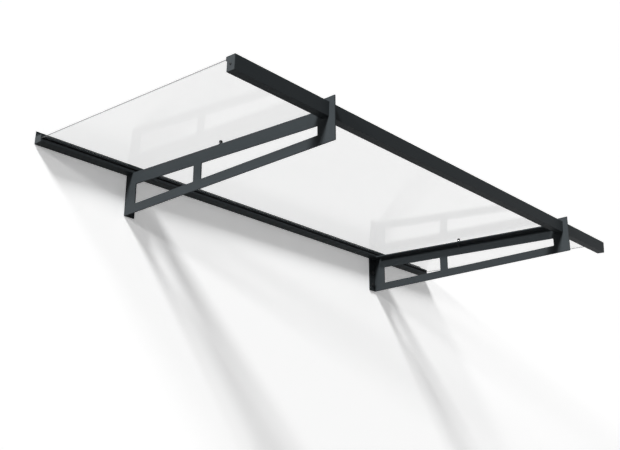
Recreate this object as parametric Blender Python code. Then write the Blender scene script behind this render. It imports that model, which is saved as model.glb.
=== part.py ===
"""Door canopy: a clear roof sheet between a wall rail and a front beam, carried by two folded brackets.

Metres, +Z up. The wall is the plane Y = 0 and the canopy stands out of it towards -Y. The origin is
the middle of the wall rail's back face. Cross-sections are drawn in (v, z), where v is the distance
from the wall, and what follows the fall of the roof is drawn in (s, n): s runs down the slope from the
wall and n stands square to it, counted from the brackets' top line.
"""

from math import acos, asin, atan2, cos, pi, radians, sin, tan

import bmesh
import bpy
from mathutils import Euler, Matrix, Vector

# Overall sizes
CANOPY_WIDTH = 2.000
PROJECTION = 0.900
FALL_ANGLE = radians(2.9)
CLEARANCE = 0.0003

# Roof sheet
SHEET_THICKNESS = 0.004
SHEET_LIFT = 0.008
SHEET_END_INSET = 0.0005
SHEET_HOLE_RADIUS = 0.0040
SHEET_EDGE_BEVEL = 0.0004

# Glazing seals
SEAL_THICKNESS = 0.0008

# Wall rail
RAIL_HEIGHT = 0.043
RAIL_DEPTH = 0.036
RAIL_LEG = 0.003
RAIL_WALL = 0.002
RAIL_LIP = 0.0071
RAIL_BITE = 0.022
RAIL_PORT_FROM_WALL = 0.0116
RAIL_PORT_RADIUS = 0.0036
RAIL_PORT_BORE = 0.0019
RAIL_PORT_SLIT = 0.0016
RAIL_PORT_SINK = 0.0006

# Rail screws
RAIL_SCREW_COUNT = 4
RAIL_SCREW_FROM_END = 0.220
RAIL_SCREW_FROM_TOP = 0.0064
RAIL_SCREW_RADIUS = 0.0021
RAIL_SCREW_HEAD_RADIUS = 0.0040
RAIL_SCREW_HEAD_HEIGHT = 0.0026
RAIL_SCREW_SOCKET = 0.0025

# Front beam
BEAM_DEPTH = 0.0275
BEAM_HEIGHT = 0.042
BEAM_WALL = 0.002
BEAM_LIP = 0.0029
BEAM_BITE = 0.0115
BEAM_JAW = 0.004
BEAM_JAW_LIP = 0.002
BEAM_PORT_FROM_BACK = 0.0136
BEAM_PORT_FROM_BOTTOM = 0.0182
BEAM_PORT_RADIUS = 0.0034
BEAM_PORT_BORE = 0.0018
BEAM_WEB = 0.0015

# End caps
CAP_THICKNESS = 0.002
CAP_LUG_LENGTH = 0.010
CAP_SCREW_RADIUS = 0.00145
CAP_SCREW_LENGTH = 0.014
CAP_SCREW_HEAD_RADIUS = 0.0032
CAP_SCREW_HEAD_HEIGHT = 0.0022
CAP_SCREW_SOCKET = 0.0020

# Brackets
BRACKET_SPAN = 1.3186
BRACKET_HEIGHT = 0.1437
PLATE_THICKNESS = 0.004
FLANGE_WIDTH = 0.040
BEND_RADIUS = 0.002
SEAT_STEP = 0.0040
BOTTOM_BAR = 0.030
TOP_BAR = 0.0429
WALL_POST = 0.054
MIDDLE_POST = 0.034
MIDDLE_POST_FROM_WALL = 0.338
BEAM_POST = 0.0131
HOOK_LIP = 0.0181
HOOK_ARM_HEIGHT = 0.0141
HOOK_ARM_LENGTH = 0.050
WINDOW_CORNER_RADIUS = 0.0015
FLANGE_RELIEF = 0.004

# Bracket wall screws
WALL_SCREW_HEIGHTS = (0.0255, 0.0780)
WALL_SCREW_RADIUS = 0.0040
WALL_SCREW_HEAD_ACROSS = 0.013
WALL_SCREW_HEAD_HEIGHT = 0.0053
WALL_WASHER_RADIUS = 0.0083
WALL_WASHER_THICKNESS = 0.0016

# Sheet bolts
BOLT_FROM_WALL = 0.4395
BOLT_FROM_OUTER_FACE = 0.016
BOLT_RADIUS = 0.003
BOLT_HEAD_RADIUS = 0.00525
BOLT_HEAD_HEIGHT = 0.0054
BOLT_SOCKET_ACROSS = 0.004
BOLT_END = 0.0037
BOLT_PAD_RADIUS = 0.0060
BOLT_PAD_THICKNESS = 0.0010
SPACER_RADIUS = 0.0060
NUT_ACROSS = 0.010
NUT_HEIGHT = 0.005
NUT_WASHER_RADIUS = 0.0060
NUT_WASHER_THICKNESS = 0.0012

# Socket head screws, as shares of the head's height, of the shank's radius and of the socket's depth
HEAD_RIM_SHARE = 0.35
SOCKET_FLOOR_SHARE = 0.45
TIP_SHARE = 0.25

# Fineness of round forms and softness of edges
ROUND_STEPS = 32
SMALL_ROUND_STEPS = 20
DOME_STEPS = 8
PORT_STEPS = 10
CORNER_STEPS = 4
EDGE_BEVEL = 0.0003
SMALL_EDGE_BEVEL = 0.0002

# Worked out from the sizes above
BRACKET_OUTER = BRACKET_SPAN / 2
RAIL_BOTTOM = -RAIL_HEIGHT / 2
RAIL_TOP = RAIL_HEIGHT / 2
BRACKET_SEAT = RAIL_BOTTOM - CLEARANCE
TOP_LINE_AT_WALL = BRACKET_SEAT + SEAT_STEP
BRACKET_BOTTOM = TOP_LINE_AT_WALL - BRACKET_HEIGHT
SEAL_ROOM = SEAL_THICKNESS + 2 * CLEARANCE
SHEET_TOP = SHEET_LIFT + SHEET_THICKNESS
SLOT_LOW = SHEET_LIFT - SEAL_ROOM
SLOT_HIGH = SHEET_TOP + SEAL_ROOM
RAIL_BOX_TOP = SLOT_HIGH + RAIL_LIP
RAIL_SLOT_END = RAIL_DEPTH - RAIL_BITE
BEAM_TOP = SLOT_HIGH + BEAM_LIP
BEAM_BOTTOM = BEAM_TOP - BEAM_HEIGHT
BEAM_FRONT = (PROJECTION - HOOK_LIP - CLEARANCE - BEAM_TOP * sin(FALL_ANGLE)) / cos(FALL_ANGLE)
BEAM_BACK = BEAM_FRONT - BEAM_DEPTH
BEAM_SLOT_END = BEAM_BACK + BEAM_BITE
BEAM_PORT = (BEAM_BACK + BEAM_PORT_FROM_BACK, BEAM_BOTTOM + BEAM_PORT_FROM_BOTTOM)
SHEET_BACK = RAIL_SLOT_END + SEAL_ROOM
SHEET_FRONT = BEAM_SLOT_END - SEAL_ROOM
SHEET_HALF_WIDTH = CANOPY_WIDTH / 2 - SHEET_END_INSET
CAP_INNER_FACE = CANOPY_WIDTH / 2 + CLEARANCE
CAP_OUTER_FACE = CAP_INNER_FACE + CAP_THICKNESS
RAIL_SCREW_HEIGHT = RAIL_TOP - RAIL_SCREW_FROM_TOP
WALL_SCREW_FROM_OUTER_FACE = (PLATE_THICKNESS + FLANGE_WIDTH) / 2
NEAR = 1e-6
LEFT, RIGHT = -1, 1
SIDES = {"left": LEFT, "right": RIGHT}

# Each frame turns the plane that a section is drawn in, and the way it is extruded, into place
ACROSS = Euler((pi / 2, 0, -pi / 2)).to_matrix().to_4x4()
OUT_OF_WALL = Matrix.Rotation(pi / 2, 4, "X")
SLOPE = (
    Matrix.Translation((0, 0, TOP_LINE_AT_WALL))
    @ Matrix.Rotation(FALL_ANGLE, 4, "X")
    @ Matrix.Rotation(-pi / 2, 4, "Z")
)


def on_slope(s, n):
    """The (v, z) point that lies s down the slope and n above the brackets' top line."""
    return (
        s * cos(FALL_ANGLE) + n * sin(FALL_ANGLE),
        TOP_LINE_AT_WALL - s * sin(FALL_ANGLE) + n * cos(FALL_ANGLE),
    )


def fall_line(v, n):
    """The (v, z) point at v from the wall on the line that runs n above the brackets' top line."""
    return (v, TOP_LINE_AT_WALL + n / cos(FALL_ANGLE) - v * tan(FALL_ANGLE))


def arc(centre, radius, start, end, steps):
    """Points along an arc, ends included."""
    angles = [start + (end - start) * step / steps for step in range(steps + 1)]
    return [(centre[0] + radius * cos(a), centre[1] + radius * sin(a)) for a in angles]


def circle(centre, radius, steps=ROUND_STEPS):
    return arc(centre, radius, 0, 2 * pi, steps)[:-1]


def hexagon(across_flats):
    return circle((0, 0), across_flats / 2 / cos(pi / 6), 6)


def rectangle(low, high):
    return [low, (high[0], low[1]), high, (low[0], high[1])]


def rounded(points, radius):
    """A convex outline, listed anticlockwise, with its corners turned to arcs."""
    loop = []
    for index, (x, y) in enumerate(points):
        x_in, y_in = points[index - 1]
        x_out, y_out = points[(index + 1) % len(points)]
        heading_in = atan2(y - y_in, x - x_in)
        heading_out = atan2(y_out - y, x_out - x)
        turn = (heading_out - heading_in) % (2 * pi)
        setback = radius * tan(turn / 2)
        start_x = x - setback * cos(heading_in)
        start_y = y - setback * sin(heading_in)
        centre = (start_x - radius * sin(heading_in), start_y + radius * cos(heading_in))
        first = heading_in - pi / 2
        loop += arc(centre, radius, first, first + turn, CORNER_STEPS)
    return loop


def edge_ring(solid, points):
    """The edges of a closed loop of points."""
    corners = [solid.verts.new(point) for point in points]
    return [solid.edges.new((corners[i - 1], corner)) for i, corner in enumerate(corners)]


def level_ring(solid, loop, height):
    return edge_ring(solid, [(x, y, height) for x, y in loop])


def prism(outline, low, high, holes=(), lugs=(), lug_end=0.0):
    """A closed solid: the outline, less its holes, extruded along local Z from low to high.

    Lugs are outlines that stand on the face at high and go on to lug_end.
    """
    solid = bmesh.new()
    bottom = [level_ring(solid, loop, low) for loop in (outline, *holes)]
    top = [level_ring(solid, loop, high) for loop in (outline, *holes)]
    roots = [level_ring(solid, loop, high) for loop in lugs]
    tips = [level_ring(solid, loop, lug_end) for loop in lugs]
    for face in (bottom, top + roots, *[[tip] for tip in tips]):
        bmesh.ops.triangle_fill(solid, use_beauty=True, edges=sum(face, []))
    for lower, upper in zip(bottom + roots, top + tips):
        bmesh.ops.bridge_loops(solid, edges=lower + upper)
    bmesh.ops.recalc_face_normals(solid, faces=solid.faces[:])
    return solid


def turned(profile, steps=ROUND_STEPS):
    """A closed solid turned about local Z. The (radius, height) profile starts and ends on the axis."""
    solid = bmesh.new()
    points = [solid.verts.new((radius, 0, height)) for radius, height in profile]
    edges = [solid.edges.new(pair) for pair in zip(points, points[1:])]
    bmesh.ops.spin(
        solid, geom=points + edges, axis=(0, 0, 1), cent=(0, 0, 0), steps=steps, angle=2 * pi, use_merge=True
    )
    bmesh.ops.remove_doubles(solid, verts=solid.verts[:], dist=NEAR)
    bmesh.ops.recalc_face_normals(solid, faces=solid.faces[:])
    return solid


def drill(solid, centres, axis, depth, radius, steps=ROUND_STEPS):
    """Cuts round holes through a wall. The centres lie on one face, and the other is at depth along the axis."""
    turn = axis.to_track_quat("Z", "Y")
    mouths = []
    for reach in (0, depth):
        level = centres[0] + axis * reach
        flat = [face for face in solid.faces if all(abs((v.co - level).dot(axis)) < NEAR for v in face.verts)]
        rim = [edge for edge in solid.edges if sum(face in flat for face in edge.link_faces) == 1]
        bmesh.ops.delete(solid, geom=flat, context="FACES")
        rings = []
        for centre in centres:
            around = [turn @ Vector((x, y, reach)) for x, y in circle((0, 0), radius, steps)]
            rings.append(edge_ring(solid, [centre + offset for offset in around]))
        bmesh.ops.triangle_fill(solid, use_beauty=True, edges=[*rim, *sum(rings, [])])
        mouths.append(rings)
    for near, far in zip(*mouths):
        bmesh.ops.bridge_loops(solid, edges=near + far)
    bmesh.ops.recalc_face_normals(solid, faces=solid.faces[:])


def round_edges(solid, chosen, radius):
    """Rounds the edges whose two ends both pass the test."""
    picked = [edge for edge in solid.edges if all(chosen(corner.co) for corner in edge.verts)]
    bmesh.ops.bevel(solid, geom=picked, offset=radius, segments=CORNER_STEPS, profile=0.5, affect="EDGES")


def mesh_of(name, solid):
    mesh = bpy.data.meshes.new(name)
    solid.to_mesh(mesh)
    solid.free()
    return mesh


def cut_from(name, base, cutter):
    """The mesh left when the cutter is taken out of the base solid."""
    helpers = []
    for label, solid in (("base", base), ("cutter", cutter)):
        helper = bpy.data.objects.new(f"{name}_{label}", mesh_of(f"{name}_{label}", solid))
        bpy.context.collection.objects.link(helper)
        helpers.append(helper)
    work, tool = helpers
    cut = work.modifiers.new("cut", "BOOLEAN")
    cut.operation = "DIFFERENCE"
    cut.solver = "EXACT"
    cut.object = tool
    graph = bpy.context.evaluated_depsgraph_get()
    mesh = bpy.data.meshes.new_from_object(work.evaluated_get(graph))
    mesh.name = name
    for helper in helpers:
        spent = helper.data
        bpy.data.objects.remove(helper)
        bpy.data.meshes.remove(spent)
    return mesh


def place(name, mesh, look, matrix, bevel=0.0):
    """Adds a named piece with its finish and a fine bevel on its sharp edges."""
    piece = bpy.data.objects.new(name, mesh)
    bpy.context.collection.objects.link(piece)
    piece.matrix_world = matrix
    if not mesh.materials:
        mesh.materials.append(look)
    mesh.shade_smooth()
    mesh.set_sharp_from_angle(angle=radians(30))
    if bevel:
        edge = piece.modifiers.new("edge", "BEVEL")
        edge.width = bevel
        edge.segments = 1
        edge.limit_method = "ANGLE"
        edge.angle_limit = radians(40)
    return piece


def finish(name, colour, roughness, metallic=0.0, alpha=1.0):
    material = bpy.data.materials.new(name)
    material.use_nodes = True
    shader = material.node_tree.nodes["Principled BSDF"]
    shader.inputs["Base Color"].default_value = (*colour, 1.0)
    shader.inputs["Roughness"].default_value = roughness
    shader.inputs["Metallic"].default_value = metallic
    shader.inputs["Alpha"].default_value = alpha
    material.diffuse_color = (*colour, alpha)
    return material


def finishes():
    return {
        "powder_coat": finish("anthracite_powder_coat", (0.048, 0.056, 0.060), 0.45),
        "clear_sheet": finish("clear_acrylic", (0.90, 0.93, 0.92), 0.05, alpha=0.15),
        "cap": finish("grey_cap_plastic", (0.075, 0.083, 0.088), 0.55),
        "seal": finish("black_rubber", (0.012, 0.012, 0.013), 0.80),
        "screw": finish("black_screw_steel", (0.035, 0.037, 0.040), 0.35, metallic=0.6),
    }


def rail_port_outline(centre, half_opening):
    """The screw port's outer wall, down its slit, round its bore and back, starting on the front side."""
    down = -pi / 2 - FALL_ANGLE
    outer_slit = asin(RAIL_PORT_SLIT / 2 / RAIL_PORT_RADIUS)
    bore_slit = asin(RAIL_PORT_SLIT / 2 / RAIL_PORT_BORE)
    rise = arc(centre, RAIL_PORT_RADIUS, down + half_opening, pi / 2 - outer_slit, PORT_STEPS)
    bore = arc(centre, RAIL_PORT_BORE, pi / 2 - bore_slit, bore_slit - 3 * pi / 2, SMALL_ROUND_STEPS)
    descent = arc(centre, RAIL_PORT_RADIUS, pi / 2 + outer_slit, down - half_opening + 2 * pi, PORT_STEPS)
    return rise + bore + descent


def rail_section():
    """The rail's outline and its C-shaped chamber, which wraps round the sheet slot."""
    port_seat = fall_line(RAIL_PORT_FROM_WALL, RAIL_BOX_TOP)
    port_rise = RAIL_PORT_RADIUS - RAIL_PORT_SINK
    port_centre = (port_seat[0], port_seat[1] + port_rise / cos(FALL_ANGLE))
    outline = [
        (0, RAIL_BOTTOM),
        (RAIL_DEPTH, RAIL_BOTTOM),
        fall_line(RAIL_DEPTH, SLOT_LOW),
        on_slope(RAIL_SLOT_END, SLOT_LOW),
        on_slope(RAIL_SLOT_END, SLOT_HIGH),
        fall_line(RAIL_DEPTH, SLOT_HIGH),
        fall_line(RAIL_DEPTH, RAIL_BOX_TOP),
        *rail_port_outline(port_centre, acos(port_rise / RAIL_PORT_RADIUS)),
        fall_line(RAIL_LEG, RAIL_BOX_TOP),
        (RAIL_LEG, RAIL_TOP),
        (0, RAIL_TOP),
    ]
    front = RAIL_DEPTH - RAIL_WALL
    behind_slot = RAIL_SLOT_END - RAIL_WALL
    chamber = [
        (RAIL_LEG, RAIL_BOTTOM + RAIL_WALL),
        (front, RAIL_BOTTOM + RAIL_WALL),
        fall_line(front, SLOT_LOW - RAIL_WALL),
        on_slope(behind_slot, SLOT_LOW - RAIL_WALL),
        on_slope(behind_slot, SLOT_HIGH + RAIL_WALL),
        fall_line(front, SLOT_HIGH + RAIL_WALL),
        fall_line(front, RAIL_BOX_TOP - RAIL_WALL),
        fall_line(RAIL_LEG, RAIL_BOX_TOP - RAIL_WALL),
    ]
    return outline, chamber


def rail_screw_places():
    last = CANOPY_WIDTH / 2 - RAIL_SCREW_FROM_END
    pitch = 2 * last / (RAIL_SCREW_COUNT - 1)
    return [pitch * index - last for index in range(RAIL_SCREW_COUNT)]


def across_from(x):
    """Places a section so that its extrusion starts at x and runs towards -X."""
    return Matrix.Translation((x, 0, 0)) @ ACROSS


def make_wall_rail(looks):
    outline, chamber = rail_section()
    body = prism(outline, 0, CANOPY_WIDTH, [chamber])
    spots = [Vector((0, RAIL_SCREW_HEIGHT, CANOPY_WIDTH / 2 - x)) for x in rail_screw_places()]
    drill(body, spots, Vector((1, 0, 0)), RAIL_LEG, RAIL_SCREW_RADIUS + CLEARANCE, SMALL_ROUND_STEPS)
    mesh = mesh_of("wall_rail", body)
    place("wall_rail", mesh, looks["powder_coat"], across_from(CANOPY_WIDTH / 2), EDGE_BEVEL)


def socket_head_screw(name, head_radius, head_height, radius, length, socket_across):
    """A low domed head with a hexagon socket, seated at local Z = 0, and its shank below."""
    rim = head_height * HEAD_RIM_SHARE
    dome = arc((0, 0), 1, 0, pi / 2, DOME_STEPS)
    crown = [(head_radius * x, rim + (head_height - rim) * y) for x, y in reversed(dome)]
    crown[0] = (0, head_height)
    tip = radius * TIP_SHARE
    shank = [(radius, 0), (radius, tip - length), (radius - tip, -length), (0, -length)]
    profile = [*crown, (head_radius, 0), *shank]
    socket = prism(hexagon(socket_across), head_height * SOCKET_FLOOR_SHARE, head_height + CLEARANCE)
    return cut_from(name, turned(profile, SMALL_ROUND_STEPS), socket)


def make_rail_screws(looks):
    seat = RAIL_LEG + CLEARANCE
    mesh = socket_head_screw(
        "rail_screw",
        RAIL_SCREW_HEAD_RADIUS,
        RAIL_SCREW_HEAD_HEIGHT,
        RAIL_SCREW_RADIUS,
        seat,
        RAIL_SCREW_SOCKET,
    )
    for number, x in enumerate(rail_screw_places(), 1):
        spot = Matrix.Translation((x, -seat, RAIL_SCREW_HEIGHT)) @ OUT_OF_WALL
        place(f"rail_screw_{number}", mesh, looks["screw"], spot)


def cap_matrix(side, depth):
    """Places a cap's section, of this depth outwards, with its inner face against the profile's end."""
    return across_from(CAP_INNER_FACE + depth if side == RIGHT else -CAP_INNER_FACE)


def end_cap(name, side, outline, lugs, holes=()):
    """A plate over a profile's end, with lugs that plug into the profile's chambers."""
    reach = CAP_LUG_LENGTH + CLEARANCE
    if side == RIGHT:
        return mesh_of(name, prism(outline, 0, CAP_THICKNESS, holes, lugs, CAP_THICKNESS + reach))
    return mesh_of(name, prism(outline, CAP_THICKNESS, 0, holes, lugs, -reach))


def make_rail_caps(looks):
    outline = [
        (RAIL_LEG, RAIL_BOTTOM),
        (RAIL_DEPTH, RAIL_BOTTOM),
        fall_line(RAIL_DEPTH, RAIL_BOX_TOP),
        fall_line(RAIL_LEG, RAIL_BOX_TOP),
    ]
    back = RAIL_LEG + CLEARANCE
    front = RAIL_DEPTH - RAIL_WALL - CLEARANCE
    floor = RAIL_BOTTOM + RAIL_WALL + CLEARANCE
    ceiling = SLOT_LOW - RAIL_WALL - CLEARANCE
    lug = [(back, floor), (front, floor), fall_line(front, ceiling), fall_line(back, ceiling)]
    for label, side in SIDES.items():
        name = f"rail_end_cap_{label}"
        mesh = end_cap(name, side, outline, [lug])
        place(name, mesh, looks["cap"], cap_matrix(side, CAP_THICKNESS), EDGE_BEVEL)


def seal_section(slot_end, mouth_low, mouth_high, inner_low, inner_high, outward):
    """A U round the sheet's edge. outward is +1 where the slot opens away from the wall."""
    end = slot_end + outward * CLEARANCE
    web = end + outward * SEAL_THICKNESS
    return [
        on_slope(end, SLOT_LOW + CLEARANCE),
        mouth_low,
        inner_low,
        on_slope(web, SHEET_LIFT - CLEARANCE),
        on_slope(web, SHEET_TOP + CLEARANCE),
        inner_high,
        mouth_high,
        on_slope(end, SLOT_HIGH - CLEARANCE),
    ]


def make_rail_seal(looks):
    section = seal_section(
        RAIL_SLOT_END,
        fall_line(RAIL_DEPTH, SLOT_LOW + CLEARANCE),
        fall_line(RAIL_DEPTH, SLOT_HIGH - CLEARANCE),
        fall_line(RAIL_DEPTH, SHEET_LIFT - CLEARANCE),
        fall_line(RAIL_DEPTH, SHEET_TOP + CLEARANCE),
        1,
    )
    mesh = mesh_of("rail_seal", prism(section, 0, 2 * SHEET_HALF_WIDTH))
    place("rail_seal", mesh, looks["seal"], across_from(SHEET_HALF_WIDTH))


def make_beam_seal(looks):
    mouth = BEAM_BACK - BEAM_JAW
    section = seal_section(
        BEAM_SLOT_END,
        on_slope(mouth, SLOT_LOW + CLEARANCE),
        on_slope(mouth, SLOT_HIGH - CLEARANCE),
        on_slope(mouth, SHEET_LIFT - CLEARANCE),
        on_slope(mouth, SHEET_TOP + CLEARANCE),
        -1,
    )
    mesh = mesh_of("beam_seal", prism(section, 0, 2 * SHEET_HALF_WIDTH))
    place("beam_seal", mesh, looks["seal"], across_from(SHEET_HALF_WIDTH))


def make_sheet(looks):
    outline = rectangle((SHEET_BACK, -SHEET_HALF_WIDTH), (SHEET_FRONT, SHEET_HALF_WIDTH))
    holes = [circle((BOLT_FROM_WALL, bolt_x(side)), SHEET_HOLE_RADIUS) for side in SIDES.values()]
    mesh = mesh_of("clear_sheet", prism(outline, SHEET_LIFT, SHEET_TOP, holes))
    place("clear_sheet", mesh, looks["clear_sheet"], SLOPE, SHEET_EDGE_BEVEL)


def beam_outline():
    """The beam's outer walls, without the slot."""
    mouth = BEAM_BACK - BEAM_JAW
    jaw_bottom = SLOT_LOW - BEAM_JAW_LIP
    back = [(mouth, jaw_bottom), (BEAM_BACK, jaw_bottom)]
    box = [(BEAM_BACK, BEAM_BOTTOM), (BEAM_FRONT, BEAM_BOTTOM), (BEAM_FRONT, BEAM_TOP)]
    return [on_slope(*point) for point in (*back, *box, (mouth, BEAM_TOP))]


def beam_slot():
    mouth = BEAM_BACK - BEAM_JAW
    corners = [(mouth, SLOT_HIGH), (BEAM_SLOT_END, SLOT_HIGH), (BEAM_SLOT_END, SLOT_LOW), (mouth, SLOT_LOW)]
    return [on_slope(*point) for point in corners]


def beam_chambers():
    """The chamber under the port's web, the one over it that wraps round the slot, and the port's bore."""
    half_web = BEAM_WEB / 2
    dip = asin(half_web / BEAM_PORT_RADIUS)
    back, front = BEAM_BACK + BEAM_WALL, BEAM_FRONT - BEAM_WALL
    port_s, port_n = BEAM_PORT
    floor, roof = BEAM_BOTTOM + BEAM_WALL, BEAM_TOP - BEAM_WALL
    slot_wall = BEAM_SLOT_END + BEAM_WALL
    lower = [
        (back, floor),
        (front, floor),
        (front, port_n - half_web),
        *arc(BEAM_PORT, BEAM_PORT_RADIUS, -dip, dip - pi, PORT_STEPS),
        (back, port_n - half_web),
    ]
    upper = [
        (front, port_n + half_web),
        (front, roof),
        (slot_wall, roof),
        (slot_wall, SLOT_LOW - BEAM_WALL),
        (back, SLOT_LOW - BEAM_WALL),
        (back, port_n + half_web),
        *arc(BEAM_PORT, BEAM_PORT_RADIUS, pi - dip, dip, PORT_STEPS),
    ]
    bore = circle((port_s, port_n), BEAM_PORT_BORE, SMALL_ROUND_STEPS)
    return [[on_slope(*point) for point in loop] for loop in (lower, upper, bore)]


def make_beam(looks):
    outline = beam_outline() + beam_slot()
    mesh = mesh_of("front_beam", prism(outline, 0, CANOPY_WIDTH, beam_chambers()))
    place("front_beam", mesh, looks["powder_coat"], across_from(CANOPY_WIDTH / 2), EDGE_BEVEL)


def make_beam_caps(looks):
    port_s, port_n = BEAM_PORT
    inset = BEAM_WALL + CLEARANCE
    gap = BEAM_PORT_RADIUS + CLEARANCE
    back, front = BEAM_BACK + inset, BEAM_FRONT - inset
    lower = rectangle((back, BEAM_BOTTOM + inset), (front, port_n - gap))
    upper = rectangle((back, port_n + gap), (front, SLOT_LOW - inset))
    lugs = [[on_slope(*point) for point in lug] for lug in (lower, upper)]
    hole = circle(on_slope(port_s, port_n), BEAM_PORT_BORE, SMALL_ROUND_STEPS)
    for label, side in SIDES.items():
        name = f"beam_end_cap_{label}"
        mesh = end_cap(name, side, beam_outline(), lugs, [hole])
        place(name, mesh, looks["cap"], cap_matrix(side, CAP_THICKNESS), EDGE_BEVEL)


def make_cap_screws(looks):
    seat = CAP_OUTER_FACE + CLEARANCE
    mesh = socket_head_screw(
        "beam_cap_screw",
        CAP_SCREW_HEAD_RADIUS,
        CAP_SCREW_HEAD_HEIGHT,
        CAP_SCREW_RADIUS,
        CAP_SCREW_LENGTH,
        CAP_SCREW_SOCKET,
    )
    v, z = on_slope(*BEAM_PORT)
    for label, side in SIDES.items():
        spot = Matrix.Translation((side * seat, -v, z)) @ Matrix.Rotation(side * pi / 2, 4, "Y")
        place(f"beam_cap_screw_{label}", mesh, looks["screw"], spot)


def bracket_windows():
    """The two openings in a bracket's plate, and how far the second one reaches from the wall."""
    floor = BRACKET_BOTTOM + BOTTOM_BAR
    middle_front = MIDDLE_POST_FROM_WALL + MIDDLE_POST
    beam_notch = on_slope(BEAM_BACK - CLEARANCE, BEAM_BOTTOM - CLEARANCE)[0]
    reach = beam_notch - BEAM_POST
    windows = []
    for near, far in ((WALL_POST, MIDDLE_POST_FROM_WALL), (middle_front, reach)):
        corners = [(near, floor), (far, floor), fall_line(far, -TOP_BAR), fall_line(near, -TOP_BAR)]
        windows.append(rounded(corners, WINDOW_CORNER_RADIUS))
    return windows, reach


def bracket_outline():
    """The plate with its rail seat at the wall and the hook that holds the beam at the front."""
    notch_back, notch_front = BEAM_BACK - CLEARANCE, BEAM_FRONT + CLEARANCE
    notch_floor, notch_roof = BEAM_BOTTOM - CLEARANCE, BEAM_TOP + CLEARANCE
    arm_back = PROJECTION - HOOK_ARM_LENGTH
    roof_corner = on_slope(notch_front, notch_roof)
    arm_top = roof_corner[1] + HOOK_ARM_HEIGHT
    seat_end = RAIL_DEPTH + CLEARANCE
    return [
        (0, BRACKET_BOTTOM),
        (PROJECTION, BRACKET_BOTTOM),
        (PROJECTION, arm_top),
        (arm_back, arm_top),
        fall_line(arm_back, notch_roof),
        roof_corner,
        on_slope(notch_front, notch_floor),
        on_slope(notch_back, notch_floor),
        on_slope(notch_back, 0),
        fall_line(seat_end, 0),
        (seat_end, BRACKET_SEAT),
        (0, BRACKET_SEAT),
    ]


def bolt_x(side):
    return side * (BRACKET_OUTER - BOLT_FROM_OUTER_FACE)


def bracket_matrix(side):
    return across_from(BRACKET_OUTER if side == RIGHT else PLATE_THICKNESS - BRACKET_OUTER)


def fold_out(solid, side, limits):
    """Folds a strip of the plate's inboard face out into a flange.

    Each limit is a (point, normal) line across the plate, with the strip on the normal's side.
    """
    inboard = PLATE_THICKNESS if side == RIGHT else 0

    def inboard_faces(count):
        faces = [face for face in solid.faces if all(abs(v.co.z - inboard) < NEAR for v in face.verts)]
        for point, normal in limits[:count]:
            faces = [face for face in faces if (face.calc_center_median().xy - Vector(point)).dot(normal) > 0]
        return faces

    for count, (point, normal) in enumerate(limits):
        faces = inboard_faces(count)
        rims = [
            item for item in (*solid.edges, *solid.verts) if any(face in faces for face in item.link_faces)
        ]
        bmesh.ops.bisect_plane(
            solid, geom=[*faces, *rims], dist=NEAR, plane_co=(*point, 0), plane_no=(*normal, 0)
        )
    strip = inboard_faces(len(limits))
    grown = bmesh.ops.extrude_face_region(solid, geom=strip)["geom"]
    bmesh.ops.delete(solid, geom=strip, context="FACES")
    free_edge = [item for item in grown if isinstance(item, bmesh.types.BMVert)]
    reach = side * (FLANGE_WIDTH - PLATE_THICKNESS)
    bmesh.ops.translate(solid, vec=(0, 0, reach), verts=free_edge)


def bracket_plate(side):
    """The plate with its wall and top flanges folded out, and both bends rounded on the outside."""
    windows, top_flange_end = bracket_windows()
    solid = prism(bracket_outline(), 0, PLATE_THICKNESS, windows)
    down_slope = Vector((cos(FALL_ANGLE), -sin(FALL_ANGLE)))
    off_slope = Vector((sin(FALL_ANGLE), cos(FALL_ANGLE)))
    top_flange = [
        (on_slope(RAIL_DEPTH + FLANGE_RELIEF, 0), down_slope),
        (on_slope(top_flange_end, 0), -down_slope),
        (on_slope(0, -PLATE_THICKNESS), off_slope),
    ]
    wall_flange = [((PLATE_THICKNESS, 0), Vector((-1, 0)))]
    fold_out(solid, side, top_flange)
    fold_out(solid, side, wall_flange)
    bmesh.ops.recalc_face_normals(solid, faces=solid.faces[:])
    outer = 0 if side == RIGHT else PLATE_THICKNESS

    def on_bend(corner):
        on_top_line = abs(corner.y - fall_line(corner.x, 0)[1]) < NEAR
        return abs(corner.z - outer) < NEAR and (corner.x < NEAR or on_top_line)

    round_edges(solid, on_bend, BEND_RADIUS)
    return solid


def make_brackets(looks):
    out_of_wall = Vector((1, 0, 0))
    into_flange = Vector((-sin(FALL_ANGLE), -cos(FALL_ANGLE), 0))
    for label, side in SIDES.items():
        name = f"bracket_{label}"
        solid = bracket_plate(side)
        into_plate = bracket_matrix(side).inverted()
        x = side * (BRACKET_OUTER - WALL_SCREW_FROM_OUTER_FACE)
        spots = [into_plate @ Vector((x, 0, BRACKET_BOTTOM + height)) for height in WALL_SCREW_HEIGHTS]
        drill(solid, spots, out_of_wall, PLATE_THICKNESS, WALL_SCREW_RADIUS + CLEARANCE)
        v, z = on_slope(BOLT_FROM_WALL, 0)
        spot = into_plate @ Vector((bolt_x(side), -v, z))
        drill(solid, [spot], into_flange, PLATE_THICKNESS, BOLT_RADIUS + CLEARANCE)
        place(name, mesh_of(name, solid), looks["powder_coat"], bracket_matrix(side), EDGE_BEVEL)


def washer(name, radius, bore, thickness):
    outer, inner = circle((0, 0), radius), circle((0, 0), bore)
    return mesh_of(name, prism(outer, 0, thickness, [inner]))


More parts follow.
